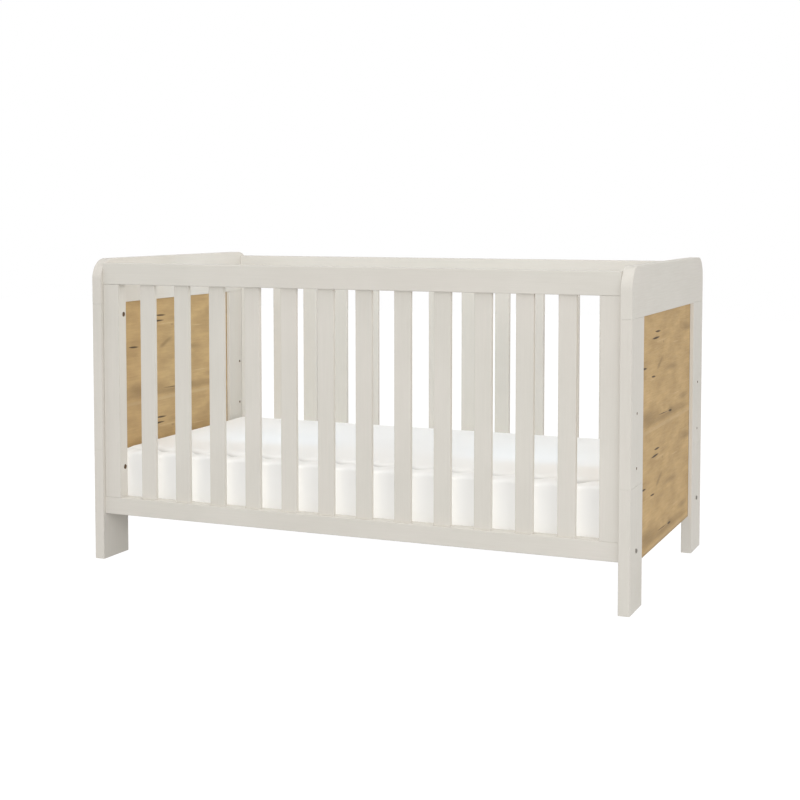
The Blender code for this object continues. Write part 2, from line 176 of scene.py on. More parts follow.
for number in range(FILLS):
    turn = (number + 0.5) * 2 * math.pi / FILLS
    strength = FILL_STRENGTH * (1 - FILL_TILT * math.sin(turn))
    LIGHTS.append((f"fill {number}", "SUN", (math.sin(turn), -math.cos(turn), FILL_RISE), (0, 0, 0),
                   strength, SUN_SPREAD, WHITE, number in FILLS_WITH_SHADOWS))


def make_camera():
    data = bpy.data.cameras.new("camera")
    data.sensor_width = SENSOR_WIDTH
    data.lens = CAMERA_LENS
    data.shift_y = CAMERA_SHIFT
    camera = bpy.data.objects.new("camera", data)
    camera.location = CAMERA_PLACE
    camera.rotation_euler = (math.pi / 2 - CAMERA_DIP, 0, CAMERA_TURN)
    bpy.context.scene.collection.objects.link(camera)
    bpy.context.scene.camera = camera


def make_light(name, kind, place, target, strength, size, colour, shadow):
    """A soft box (AREA) or a wide far light (SUN) that faces its target. One without a shadow only fills.
    None is seen by the camera, and only soft boxes with a shadow are seen in reflections."""
    data = bpy.data.lights.new(name, kind)
    data.energy = strength
    data.color = colour
    data.use_shadow = shadow
    if kind == "AREA":
        data.shape = "SQUARE"
        data.size = size
    else:
        data.angle = size
    light = bpy.data.objects.new(name, data)
    light.location = place
    light.rotation_euler = (Vector(target) - Vector(place)).to_track_quat("-Z", "Y").to_euler()
    light.visible_camera = False
    light.visible_glossy = shadow and kind == "AREA"
    bpy.context.scene.collection.objects.link(light)


def make_surroundings():
    """White light from all round, a soft box at the right and one overhead, even fills outside, two cool
    fills inside the crib, and a pale floor."""
    scene = bpy.context.scene
    scene.view_settings.view_transform = "Standard"
    scene.world = bpy.data.worlds.new("white room")
    scene.world.use_nodes = True
    tree = scene.world.node_tree
    seen = tree.nodes.new("ShaderNodeLightPath").outputs["Is Camera Ray"]
    background = tree.nodes["Background"].inputs
    background["Color"].default_value = (1, 1, 1, 1)
    tree.links.new(maths(tree, "MULTIPLY_ADD", seen, 1.0 - ROOM_LIGHT, ROOM_LIGHT), background["Strength"])
    for light in LIGHTS:
        make_light(*light)
    reach = np.linspace(-FLOOR_REACH, FLOOR_REACH, FLOOR_POINTS)
    level = np.zeros((FLOOR_POINTS, FLOOR_POINTS))
    grid = np.stack([*np.meshgrid(reach, reach, indexing="ij"), level], axis=2)
    mesh = bpy.data.meshes.new("floor")
    mesh.from_pydata(grid.reshape(-1, 3).tolist(), [], grid_faces(FLOOR_POINTS, FLOOR_POINTS).tolist())
    floor = bpy.data.objects.new("floor", mesh)
    scene.collection.objects.link(floor)
    mesh.materials.append(floor_material())


# ---- material helpers ----------------------------------------------------------------------------------

def add(tree, kind, inputs=None, **settings):
    """A node of a kind with its settings: an input given a socket is linked to it, another value is set."""
    made = tree.nodes.new(kind)
    for name, value in settings.items():
        setattr(made, name, value)
    for name, value in (inputs or {}).items():
        if isinstance(value, bpy.types.NodeSocket):
            tree.links.new(value, made.inputs[name])
        else:
            made.inputs[name].default_value = value
    return made


def maths(tree, operation, *values, clamp=False):
    inputs = dict(enumerate(values))
    return add(tree, "ShaderNodeMath", inputs, operation=operation, use_clamp=clamp).outputs[0]


def vector_maths(tree, operation, *values):
    inputs = dict(enumerate(values))
    return add(tree, "ShaderNodeVectorMath", inputs, operation=operation).outputs[0]


def product(tree, first, second):
    return maths(tree, "MULTIPLY", first, second)


def distance(tree, first, second):
    """The root of the sum of two squares."""
    squares = maths(tree, "ADD", product(tree, first, first), product(tree, second, second))
    return maths(tree, "SQRT", squares)


def between(tree, value, low, high, to_low=0.0, to_high=1.0):
    """A smooth step: to_low at and below low, to_high at and above high."""
    inputs = {"Value": value, "From Min": low, "From Max": high, "To Min": to_low, "To Max": to_high}
    made = add(tree, "ShaderNodeMapRange", inputs, interpolation_type="SMOOTHSTEP")
    return made.outputs["Result"]


def noise(tree, vector, scale, detail, roughness, distortion=0.0):
    inputs = {"Vector": vector, "Scale": scale, "Detail": detail, "Roughness": roughness,
              "Distortion": distortion}
    return add(tree, "ShaderNodeTexNoise", inputs).outputs["Fac"]


def colour_mix(tree, amount, first, second):
    """The second colour over the first one by an amount. Colours are linear RGB or sockets."""
    made = add(tree, "ShaderNodeMix", data_type="RGBA", blend_type="MIX")
    for index, value in ((0, amount), (6, first), (7, second)):
        if isinstance(value, bpy.types.NodeSocket):
            tree.links.new(value, made.inputs[index])
        else:
            made.inputs[index].default_value = (*value, 1.0) if index else value
    return made.outputs[2]


def layer(tree, colour, over, mask, amount):
    """Another colour laid over a colour by an amount, where a mask is."""
    return colour_mix(tree, product(tree, mask, amount), colour, over)


def bump(tree, shader, height, strength, depth, normal=None):
    """Fine relief on a shader, over the normal given or the surface's own."""
    inputs = {"Height": height, "Strength": strength, "Distance": depth}
    if normal is not None:
        inputs["Normal"] = normal
    tree.links.new(add(tree, "ShaderNodeBump", inputs).outputs[0], shader["Normal"])


def make_group(name, inputs, outputs):
    """An empty node group. Its inputs are (name, kind, value) and its outputs are (name, kind)."""
    group = bpy.data.node_groups.new(name, "ShaderNodeTree")
    for label, kind, value in inputs:
        socket = group.interface.new_socket(label, in_out="INPUT", socket_type="NodeSocket" + kind)
        if value is not None:
            socket.default_value = value
    for label, kind in outputs:
        group.interface.new_socket(label, in_out="OUTPUT", socket_type="NodeSocket" + kind)
    return group, group.nodes.new("NodeGroupInput").outputs, group.nodes.new("NodeGroupOutput").inputs


def use_group(tree, group, inputs):
    return add(tree, "ShaderNodeGroup", inputs, node_tree=group).outputs


def new_material(name):
    """A material with its tree and its Principled shader."""
    material = bpy.data.materials.new(name)
    material.use_nodes = True
    tree = material.node_tree
    return material, tree, tree.nodes["Principled BSDF"].inputs


def object_place(tree):
    return tree.nodes.new("ShaderNodeTexCoord").outputs["Object"]


# ---- shared effects ------------------------------------------------------------------------------------

NOISE_RANGE = (0.3, 0.7)
STREAK_RANGE = (0.25, 0.75)
PATCH_RANGE = (0.35, 0.65)
WIDE_RANGE = (0.2, 0.8)
FIGURE_SHARE = 0.09
FIGURE_WAVES = 34.0
PORE_SHARE = 2.2
PORES_FROM, PORES_FULL = 0.66, 0.76
EDGE_FLAT, EDGE_TURNED = 0.97, 0.80
BEVEL_SAMPLES = 4
WARMTH_ASIDE = (3.1, 7.7, 1.3)
WARMTH_SHARE = 0.6
CRACK_SOFTNESS = 0.5


def grain_group():
    """Wood grain that runs along X of its vector: fine streaks, broad figure and short open pores."""
    group, given, out = make_group(
        "wood grain",
        [("Vector", "Vector", None), ("Fineness", "Float", 260.0), ("Length", "Float", 24.0)],
        [("Streaks", "Float"), ("Figure", "Float"), ("Pores", "Float")])
    shrink = maths(group, "DIVIDE", 1.0, given["Length"])
    stretch = add(group, "ShaderNodeCombineXYZ", {"X": shrink, "Y": 1.0, "Z": 1.0}).outputs[0]
    drawn = vector_maths(group, "MULTIPLY", given["Vector"], stretch)
    streaks = noise(group, drawn, given["Fineness"], detail=4.0, roughness=0.65, distortion=0.3)
    coarse = product(group, given["Fineness"], FIGURE_SHARE)
    figure = noise(group, drawn, coarse, detail=2.0, roughness=0.5, distortion=1.2)
    waves = maths(group, "SINE", product(group, figure, FIGURE_WAVES))
    fine = product(group, given["Fineness"], PORE_SHARE)
    pores = noise(group, drawn, fine, detail=1.0, roughness=0.4)
    group.links.new(between(group, streaks, *STREAK_RANGE), out["Streaks"])
    group.links.new(between(group, waves, -1.0, 1.0), out["Figure"])
    group.links.new(between(group, pores, PORES_FROM, PORES_FULL), out["Pores"])
    return group


def edge_group():
    """Rounded edges for shading, and a broken mask along them where handling has rubbed the finish."""
    group, given, out = make_group(
        "edge wear",
        [("Vector", "Vector", None), ("Width", "Float", 0.002), ("Patches", "Float", 35.0)],
        [("Wear", "Float"), ("Normal", "Vector")])
    soft = add(group, "ShaderNodeBevel", {"Radius": given["Width"]}, samples=BEVEL_SAMPLES).outputs[0]
    true = group.nodes.new("ShaderNodeNewGeometry").outputs["Normal"]
    facing = add(group, "ShaderNodeVectorMath", {0: soft, 1: true}, operation="DOT_PRODUCT").outputs["Value"]
    edge = between(group, facing, EDGE_FLAT, EDGE_TURNED)
    patches = noise(group, given["Vector"], given["Patches"], detail=4.0, roughness=0.6)
    wear = product(group, edge, between(group, patches, *PATCH_RANGE))
    group.links.new(wear, out["Wear"])
    group.links.new(soft, out["Normal"])
    return group


def drift_group():
    """Slow drift of tone over a piece, as hand-mixed paint and sawn boards have, from 0 to 1."""
    group, given, out = make_group(
        "tone drift",
        [("Vector", "Vector", None), ("Size", "Float", 0.2)],
        [("Tone", "Float"), ("Warmth", "Float")])
    scale = maths(group, "DIVIDE", 1.0, given["Size"])
    tone = noise(group, given["Vector"], scale, detail=3.0, roughness=0.55)
    aside = vector_maths(group, "ADD", given["Vector"], WARMTH_ASIDE)
    broader = product(group, scale, WARMTH_SHARE)
    warmth = noise(group, aside, broader, detail=2.0, roughness=0.5)
    group.links.new(between(group, tone, *NOISE_RANGE), out["Tone"])
    group.links.new(between(group, warmth, *NOISE_RANGE), out["Warmth"])
    return group


MARK_INPUTS = [
    ("Along", "Float", 0.0), ("Across", "Float", 0.0), ("Centre", "Float", 0.0), ("Line", "Float", 0.0),
    ("Half Length", "Float", 0.03), ("Half Width", "Float", 0.001), ("Slope", "Float", 0.0)]


def from_mark(group, given):
    """The way along and across a board from a mark's centre, which lies on a line that leans by a slope."""
    along = maths(group, "SUBTRACT", given["Along"], given["Centre"])
    lean = product(group, along, given["Slope"])
    across = maths(group, "SUBTRACT", maths(group, "SUBTRACT", given["Across"], given["Line"]), lean)
    return along, across


def crack_group():
    """A tapered crack along the grain of a board: with d the way from its centre along the grain, it is
    open where the way across is under half_width * (1 - (d / half_length) squared)."""
    group, given, out = make_group("board crack", MARK_INPUTS, [("Mark", "Float")])
    along, across = from_mark(group, given)
    share = maths(group, "DIVIDE", along, given["Half Length"])
    taper = maths(group, "SUBTRACT", 1.0, product(group, share, share), clamp=True)
    reach = product(group, given["Half Width"], taper)
    depth = maths(group, "SUBTRACT", reach, maths(group, "ABSOLUTE", across))
    softness = product(group, given["Half Width"], CRACK_SOFTNESS)
    group.links.new(between(group, depth, 0.0, softness), out["Mark"])
    return group


def spot_group():
    """A soft oval spot, from 1 at its centre to 0 at its rim, with its long axis leaning by a slope."""
    group, given, out = make_group("board spot", MARK_INPUTS, [("Mark", "Float")])
    along, across = from_mark(group, given)
    u = maths(group, "DIVIDE", along, given["Half Length"])
    v = maths(group, "DIVIDE", across, given["Half Width"])
    group.links.new(between(group, distance(group, u, v), 1.0, 0.0), out["Mark"])
    return group


def drilled_group():
    """The inside of a hole drilled along X, near the crib's ends: nearer to its line than its radius."""
    group, given, out = make_group(
        "drilled hole",
        [("Vector", "Vector", None), ("Off Middle", "Float", 0.3), ("Height", "Float", 0.5),
         ("Radius", "Float", 0.004), ("From End", "Float", 0.65)],
        [("Inside", "Float")])
    parts = add(group, "ShaderNodeSeparateXYZ", {0: given["Vector"]}).outputs
    y = maths(group, "SUBTRACT", maths(group, "ABSOLUTE", parts["Y"]), given["Off Middle"])
    z = maths(group, "SUBTRACT", parts["Z"], given["Height"])
    away = distance(group, y, z)
    near_end = maths(group, "GREATER_THAN", maths(group, "ABSOLUTE", parts["X"]), given["From End"])
    inside = maths(group, "LESS_THAN", away, given["Radius"])
    group.links.new(product(group, inside, near_end), out["Inside"])
    return group


GRAIN = grain_group()
EDGES = edge_group()
DRIFT = drift_group()
CRACK = crack_group()
SPOT = spot_group()
DRILLED = drilled_group()


# ---- materials -----------------------------------------------------------------------------------------

GRAIN_TURNS = {"lengthwise": (0, 0, 0), "crosswise": (0, 0, math.pi / 2), "upright": (0, math.pi / 2, 0)}


def grain_place(tree, direction):
    """Object coordinates turned so that the grain's X axis lies along the piece."""
    inputs = {"Vector": object_place(tree), "Rotation": GRAIN_TURNS[direction]}
    return add(tree, "ShaderNodeMapping", inputs).outputs[0]


PAINT_STREAKS = 0.35
PAINT_DRIFT = 0.45
PAINT_WARMTH = 0.30
PAINT_PORES = 0.20
PAINT_WEAR = 0.25
PAINT_ROUGHNESS = (0.52, 0.42)
PAINT_RELIEF = 0.4


def painted_wood(name, direction, holes=()):
    """Off-white satin paint brushed along the wood. The grain shows faintly through it, the tone drifts
    between cool and warm, the edges are rubbed paler, and the holes drilled along X show raw wood."""
    material, tree, shader = new_material(name)
    place = grain_place(tree, direction)
    grain = use_group(tree, GRAIN, {"Vector": place, "Fineness": 260.0, "Length": 28.0})
    drift = use_group(tree, DRIFT, {"Vector": place, "Size": 0.22})
    edges = use_group(tree, EDGES, {"Vector": place, "Width": 0.0008, "Patches": 35.0})
    tone = maths(tree, "ADD", product(tree, grain["Streaks"], PAINT_STREAKS),
                 product(tree, drift["Tone"], PAINT_DRIFT), clamp=True)
    colour = colour_mix(tree, tone, PAINT_DARK, PAINT_LIGHT)
    colour = layer(tree, colour, PAINT_WARM, drift["Warmth"], PAINT_WARMTH)
    colour = layer(tree, colour, PAINT_DARK, grain["Pores"], PAINT_PORES)
    colour = layer(tree, colour, PAINT_WORN, edges["Wear"], PAINT_WEAR)
    for off_middle, height, radius in holes:
        hole = use_group(tree, DRILLED, {"Vector": object_place(tree), "Off Middle": off_middle,
                                         "Height": height, "Radius": radius})
        colour = colour_mix(tree, hole["Inside"], colour, RAW_WOOD)
    tree.links.new(colour, shader["Base Color"])
    tree.links.new(between(tree, grain["Streaks"], 0.0, 1.0, *PAINT_ROUGHNESS), shader["Roughness"])
    relief = maths(tree, "SUBTRACT", product(tree, grain["Streaks"], PAINT_RELIEF), grain["Pores"])
    bump(tree, shader, relief, strength=0.35, depth=0.0002, normal=edges["Normal"])
    shader["Specular IOR Level"].default_value = 0.4
    return material


BOARD_REPEAT = 0.2914
BOARD_TOP = 0.6845
BOARD_DOWN = BOARD_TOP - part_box("right_end_panel")[0][2]
PANEL_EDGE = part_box("right_rear_post")[0][1]
CRACKS = (
    # centre along the grain, line down the board, half length, half width, slope
    (-0.095, 0.0490, 0.033, 0.0032, 0.03),
    (-0.115, 0.0640, 0.046, 0.0034, 0.00),
    (-0.232, 0.1295, 0.028, 0.0032, 0.04),
    (-0.138, 0.1570, 0.026, 0.0030, 0.05),
    (0.050, 0.2630, 0.022, 0.0036, 0.06),
    (-0.030, 0.2600, 0.060, 0.0012, 0.03),
)
PALE_STREAKS = (
    (0.125, 0.2250, 0.060, 0.0016, 0.02),
    (0.105, 0.0900, 0.040, 0.0014, 0.02),
    (-0.060, 0.0740, 0.070, 0.0016, 0.00),
    (-0.150, 0.1640, 0.040, 0.0014, 0.03),
)
BLOTCHES = (
    (-0.062, 0.1250, 0.046, 0.009, -0.36),
    (-0.082, 0.1360, 0.026, 0.010, -0.20),
    (-0.033, 0.0790, 0.012, 0.005, 0.00),
    (0.056, 0.2600, 0.050, 0.014, 0.02),
    (-0.190, 0.2520, 0.130, 0.030, 0.02),
    (0.240, 0.0600, 0.090, 0.018, 0.04),
    (0.210, 0.2420, 0.080, 0.016, 0.04),
    (0.060, 0.1500, 0.110, 0.014, 0.03),
    (0.000, 0.2680, 0.360, 0.015, 0.00),
)
DRIFT_STRETCH = (0.45, 1.0, 1.0)
OAK_BANDS = 0.30
OAK_DRIFT = 0.70
OAK_STREAKS = 0.13
OAK_FIGURE = 0.10
OAK_PORES = 0.20
OAK_BLOTCHES = 0.60
OAK_STREAKS_PALE = 0.45
OAK_OPENED = 0.92
OAK_ROUGHNESS = (0.50, 0.62)
SEAM_UP = 0.004
SEAM_FULL, SEAM_REACH = 0.001, 0.009
SEAM_PALE = 0.28
# painted shade in the recess where the panel meets the posts and its foot: widths and darkness
RECESS_SHADE_SIDE, RECESS_SHADE_FOOT = 0.005, 0.010
RECESS_SHADE_DARK = 0.55
STREAK_RELIEF = -0.3
CRACK_RELIEF = 2.0


def board_mark(tree, group, along, across, mark):
    """One row of a table of marks on a board, as a mask."""
    centre, line, half_length, half_width, slope = mark
    return use_group(tree, group, {"Along": along, "Across": across, "Centre": centre, "Line": line,
                                   "Half Length": half_length, "Half Width": half_width,
                                   "Slope": slope})["Mark"]


def oak_boards():
    """Rustic oak boards across the panel, one below the other with the same figure: tan bands and fine dark
    streaks, dark patches, split cracks, pale streaks, a paler line where one board meets the next, and
    painted shade as a darker rim in the recess where the panel meets the posts and its foot."""
    material, tree, shader = new_material("rustic_oak")
    parts = add(tree, "ShaderNodeSeparateXYZ", {0: object_place(tree)}).outputs
    down = maths(tree, "SUBTRACT", BOARD_TOP, parts["Z"])
    across = maths(tree, "MODULO", maths(tree, "ADD", down, BOARD_REPEAT), BOARD_REPEAT)
    along = parts["Y"]
    place = add(tree, "ShaderNodeCombineXYZ", {"X": along, "Y": across, "Z": 0.0}).outputs[0]
    grain = use_group(tree, GRAIN, {"Vector": place, "Fineness": 330.0, "Length": 22.0})
    bands = use_group(tree, GRAIN, {"Vector": place, "Fineness": 95.0, "Length": 12.0})
    broad = vector_maths(tree, "MULTIPLY", place, DRIFT_STRETCH)
    drift = use_group(tree, DRIFT, {"Vector": broad, "Size": 0.055})
    tone = maths(tree, "ADD", product(tree, bands["Streaks"], OAK_BANDS),
                 product(tree, drift["Tone"], OAK_DRIFT))
    colour = colour_mix(tree, tone, OAK_MIDDLE, OAK_LIGHT)
    colour = layer(tree, colour, OAK_DARK, grain["Streaks"], OAK_STREAKS)
    colour = layer(tree, colour, OAK_DARK, bands["Figure"], OAK_FIGURE)
    colour = layer(tree, colour, OAK_DARK, grain["Pores"], OAK_PORES)
    for mark in BLOTCHES:
        colour = layer(tree, colour, OAK_DARK, board_mark(tree, SPOT, along, across, mark), OAK_BLOTCHES)
    off_seam = maths(tree, "ABSOLUTE", maths(tree, "SUBTRACT", across, BOARD_REPEAT - SEAM_UP))
    pale = product(tree, between(tree, off_seam, SEAM_REACH, SEAM_FULL), SEAM_PALE)
    for mark in PALE_STREAKS:
        streak = product(tree, board_mark(tree, CRACK, along, across, mark), OAK_STREAKS_PALE)
        pale = maths(tree, "MAXIMUM", pale, streak)
    colour = colour_mix(tree, pale, colour, OAK_PALE)
    off_middle = maths(tree, "ABSOLUTE", along)
    # painted shade: a darker rim beside the posts and along the foot, where the panel sits back in its frame
    rim = maths(tree, "MAXIMUM", between(tree, off_middle, PANEL_EDGE - RECESS_SHADE_SIDE, PANEL_EDGE),
                between(tree, down, BOARD_DOWN - RECESS_SHADE_FOOT, BOARD_DOWN))
    colour = layer(tree, colour, OAK_DARK, rim, RECESS_SHADE_DARK)
    opened = 0.0
    for mark in CRACKS:
        opened = maths(tree, "MAXIMUM", opened, board_mark(tree, CRACK, along, across, mark))
    colour = layer(tree, colour, OAK_CRACK, opened, OAK_OPENED)
    tree.links.new(colour, shader["Base Color"])
    tree.links.new(between(tree, grain["Streaks"], 0.0, 1.0, *OAK_ROUGHNESS), shader["Roughness"])
    sunk = maths(tree, "ADD", grain["Pores"], product(tree, opened, CRACK_RELIEF))
    relief = maths(tree, "SUBTRACT", product(tree, grain["Streaks"], STREAK_RELIEF), sunk)
    bump(tree, shader, relief, strength=0.5, depth=0.0003)
    shader["Specular IOR Level"].default_value = 0.3
    return material


BASE_STREAKS = 0.35
BASE_FIGURE = 0.25
BASE_WEAR = 0.50
BASE_ROUGHNESS = (0.55, 0.68)


def base_wood(name, direction):
    """Pale lacquered softwood and board of the mattress base, with a clear grain and rubbed edges."""
    material, tree, shader = new_material(name)
    place = grain_place(tree, direction)
    grain = use_group(tree, GRAIN, {"Vector": place, "Fineness": 150.0, "Length": 18.0})
    drift = use_group(tree, DRIFT, {"Vector": place, "Size": 0.15})
    edges = use_group(tree, EDGES, {"Vector": place, "Width": 0.0012, "Patches": 60.0})
    colour = colour_mix(tree, drift["Tone"], BOARD_DARK, BOARD_LIGHT)
    colour = layer(tree, colour, BOARD_DARK, grain["Streaks"], BASE_STREAKS)
    colour = layer(tree, colour, BOARD_DARK, grain["Figure"], BASE_FIGURE)
    colour = layer(tree, colour, BOARD_LIGHT, edges["Wear"], BASE_WEAR)
    tree.links.new(colour, shader["Base Color"])
    tree.links.new(between(tree, grain["Streaks"], 0.0, 1.0, *BASE_ROUGHNESS), shader["Roughness"])
    bump(tree, shader, grain["Streaks"], strength=0.3, depth=0.0002, normal=edges["Normal"])
    return material


KNIT_WAVES = (2600.0, 3400.0, 2600.0)
KNIT_RANGE = 1.2
KNIT_DRIFT = 0.6
KNIT_LOOPS = 0.4
KNIT_ROUGHNESS = (0.82, 0.95)
LINT_FINENESS = 900.0
FOLD_FINENESS = 26.0
LOOP_RELIEF = 0.15
LINT_RELIEF = 0.25
FOLD_RELIEF = 2.0
# painted shade in the crease behind the front roll: where it starts to show and how dark it gets
CREASE_FROM = 0.20
CREASE_SHADE = 0.62


def knitted_cover():
    """White stretch knit: rows of fine loops as sin x sin y + sin y sin z + sin z sin x, soft lint between
    them, shallow folds, a slow drift of tone, and painted shade in the crease behind the front roll."""
    material, tree, shader = new_material("mattress_cover")
    place = object_place(tree)
    wave = vector_maths(tree, "SINE", vector_maths(tree, "MULTIPLY", place, KNIT_WAVES))
    parts = add(tree, "ShaderNodeSeparateXYZ", {0: wave}).outputs
    loops = maths(tree, "MULTIPLY_ADD", parts["X"], parts["Y"],
                  maths(tree, "MULTIPLY_ADD", parts["Y"], parts["Z"], product(tree, parts["Z"], parts["X"])))
    lint = noise(tree, place, LINT_FINENESS, detail=3.0, roughness=0.6)
    folds = noise(tree, place, FOLD_FINENESS, detail=3.0, roughness=0.5)
    drift = use_group(tree, DRIFT, {"Vector": place, "Size": 0.16})
    raised = between(tree, loops, -KNIT_RANGE, KNIT_RANGE)
    tone = maths(tree, "ADD", product(tree, drift["Tone"], KNIT_DRIFT),
                 product(tree, raised, KNIT_LOOPS), clamp=True)
    colour = colour_mix(tree, tone, COVER_SHADE, COVER_WHITE)
    # painted shade: the cover darkens where the mesh's crease mask is, standing in for shade in the crease
    crease = add(tree, "ShaderNodeAttribute", attribute_name="crease").outputs["Fac"]
    shade = between(tree, crease, CREASE_FROM, 1.0, 0.0, CREASE_SHADE)
    colour = colour_mix(tree, shade, colour, CREASE_PAINTED_SHADE)
    tree.links.new(colour, shader["Base Color"])
    tree.links.new(between(tree, lint, *WIDE_RANGE, *KNIT_ROUGHNESS), shader["Roughness"])
    soft = maths(tree, "ADD", product(tree, lint, LINT_RELIEF), product(tree, folds, FOLD_RELIEF))
    relief = maths(tree, "ADD", product(tree, loops, LOOP_RELIEF), soft)
    bump(tree, shader, relief, strength=0.35, depth=0.0008)
    shader["Sheen Weight"].default_value = 0.15
    shader["Sheen Roughness"].default_value = 0.5
    shader["Specular IOR Level"].default_value = 0.15
    return material


TARNISH_FINENESS = 500.0
SCRATCH_FINENESS = 900.0
SCRATCH_STRETCH = (1.0, 1.0, 14.0)
STEEL_WEAR = 0.7
STEEL_ROUGHNESS = (0.35, 0.60)


def burnished_steel():
    """Dark burnished steel with fine scratches and brighter rubbed edges."""
    material, tree, shader = new_material("dark_steel")
    place = object_place(tree)
    edges = use_group(tree, EDGES, {"Vector": place, "Width": 0.0006, "Patches": 400.0})
    tarnish = noise(tree, place, TARNISH_FINENESS, detail=4.0, roughness=0.65)
    around = vector_maths(tree, "MULTIPLY", place, SCRATCH_STRETCH)
    scratches = noise(tree, around, SCRATCH_FINENESS, detail=2.0, roughness=0.5)
    colour = colour_mix(tree, between(tree, tarnish, *NOISE_RANGE), STEEL_DARK, STEEL_LIGHT)
    colour = layer(tree, colour, STEEL_LIGHT, edges["Wear"], STEEL_WEAR)
    tree.links.new(colour, shader["Base Color"])
    tree.links.new(between(tree, scratches, *WIDE_RANGE, *STEEL_ROUGHNESS), shader["Roughness"])
    bump(tree, shader, scratches, strength=0.2, depth=0.00005, normal=edges["Normal"])
    shader["Metallic"].default_value = 1.0
    return material


def floor_material():
    """A pale floor seen as a light table, so that almost no shadow lies on it."""
    material, tree, shader = new_material("pale_floor")
    seen = tree.nodes.new("ShaderNodeLightPath").outputs["Is Camera Ray"]
    tone = maths(tree, "MULTIPLY_ADD", seen, FLOOR_SEEN_TONE - FLOOR_TONE, FLOOR_TONE)
    tree.links.new(tone, shader["Base Color"])
    tree.links.new(product(tree, seen, FLOOR_GLOW), shader["Emission Strength"])
    shader["Emission Color"].default_value = (1.0, 1.0, 1.0, 1.0)
    shader["Roughness"].default_value = 1.0
    shader["Specular IOR Level"].default_value = 0.0
    return material


# ---- pieces --------------------------------------------------------------------------------------------

SLAT_ROUND = 0.003
SLAT_ROUND_STEPS = 4
SLAT_SPANS = (1, 1, 8)
SLAT_COUNT = 12
SLAT_PITCH = (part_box("front_slat_12")[0][0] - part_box("front_slat_01")[0][0]) / (SLAT_COUNT - 1)


def make_slats(side, material):
    """The slats of a side, each a board with its edges well rounded."""
    for number in range(1, SLAT_COUNT + 1):
        name = f"{side}_slat_{number:02d}"
        mesh = closed_mesh("slat", round_block(*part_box(name), SLAT_ROUND, SLAT_ROUND_STEPS, SLAT_SPANS))
        mesh.materials.append(material)
        piece = make_piece(f"{side}_rounded_slat_{number:02d}", mesh, "frame", "white_paint", name)
        flat_faces_first(piece)


SHANK_RADIUS = 0.003
SHANK_TAPER = 0.0015
HEAD_HEIGHT = 0.0025
SOCKET_HALF_WIDTH = 0.0021
SOCKET_DEPTH = 0.0018
BOLT_BREAK = 0.0003
# share of the head's radius, depth under the head's top
HEAD_CROWN = ((0.62, 0.0), (0.82, 0.0003), (0.95, 0.0008), (1.0, 0.0014))
BOLT_COLUMNS = 36
BOLT_SHARP_FROM = math.radians(40)


def turned_bolt(name, facing, material):
    """A socket-head bolt along X: rows of (radius, six-sided or not, height over the seat) turned by an
    angle a. A six-sided row's radius is divided by cos(a folded into -30 to 30 degrees)."""
    low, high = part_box(name)
    middle = (low + high) / 2
    head = (high.y - low.y) / 2
    seat = (high.x if facing > 0 else low.x) - facing * HEAD_HEIGHT
    length = high.x - low.x - HEAD_HEIGHT
    top, floor, half = HEAD_HEIGHT, HEAD_HEIGHT - SOCKET_DEPTH, SOCKET_HALF_WIDTH
    rows = np.array([
        # the socket, from the middle of its floor to its rim
        (0.0, 1, floor - BOLT_BREAK), (half * 0.5, 1, floor), (half, 1, floor), (half, 1, top - BOLT_BREAK),
        (half + BOLT_BREAK, 1, top),
        # the head's crown and its side
        *((head * share, 0, top - under) for share, under in HEAD_CROWN),
        (head, 0, BOLT_BREAK), (head - BOLT_BREAK, 0, 0.0),
        # the shank
        (SHANK_RADIUS, 0, 0.0), (SHANK_RADIUS, 0, SHANK_TAPER - length), (SHANK_RADIUS * 0.5, 0, -length),
        (0.0, 0, -length)])
    angle = np.linspace(0, 2 * math.pi, BOLT_COLUMNS + 1)
    folded = np.mod(angle + math.pi / 6, math.pi / 3) - math.pi / 6
    radius = rows[:, :1] * np.where(rows[:, 1:2] > 0, 1 / np.cos(folded), 1.0)
    grid = np.stack([np.broadcast_to(seat + facing * rows[:, 2:], radius.shape),
                     middle.y + radius * np.cos(angle), middle.z + radius * np.sin(angle)], axis=2)
    mesh = closed_mesh("bolt", [grid])
    mesh.set_sharp_from_angle(angle=BOLT_SHARP_FROM)
    mesh.materials.append(material)
    make_piece(name.replace("bolt", "socket_bolt"), mesh, "frame", "dark_steel", name)


def make_bolts(material):
    for end, sign in (("left", -1), ("right", 1)):
        for side in ("front", "rear"):
            turned_bolt(f"{end}_{side}_base_bolt", sign, material)
            for level in ("lower", "upper"):
                turned_bolt(f"{side}_{end}_side_bolt_{level}", -sign, material)


# how the cover is cut, and how far the air may move it
COVER_START = 0.002
COVER_PUFF = 0.002
COVER_ROUND = 0.007
COVER_ROUND_STEPS = 2
COVER_CELL = 0.012
COVER_MOST = 0.005
AIR_FORCE = 4
AIR_STEPS = 5
AIR_FRAMES = 20
# the roll along the front edge: its line, reach and waves
ROLL_IN = 0.026
ROLL_REACH = 0.028
ROLL_RISE = 0.0025
ROLL_PHASE = 0.020
EDGE_DROP = 0.006
EDGE_REACH = 0.014
# the crease behind it: its line, its depth and where it is deepest
CREASE_IN = 0.079
CREASE_BOW = 0.013
CREASE_BOW_AT = 0.15
CREASE_SWAY = 0.012
CREASE_WIDTH = 0.014
CREASE_DEPTH = 0.012
CREASE_MEAN = 0.75
CREASE_WAVE = 0.20
CREASE_ENDS = 0.05
CORNER_AT = 0.600
CORNER_REACH = 0.045
CORNER_DEEPER = 0.40
CORNER_WIDER = 0.50
DIP_REACH = 0.110
DIP_DEPTH = 0.003


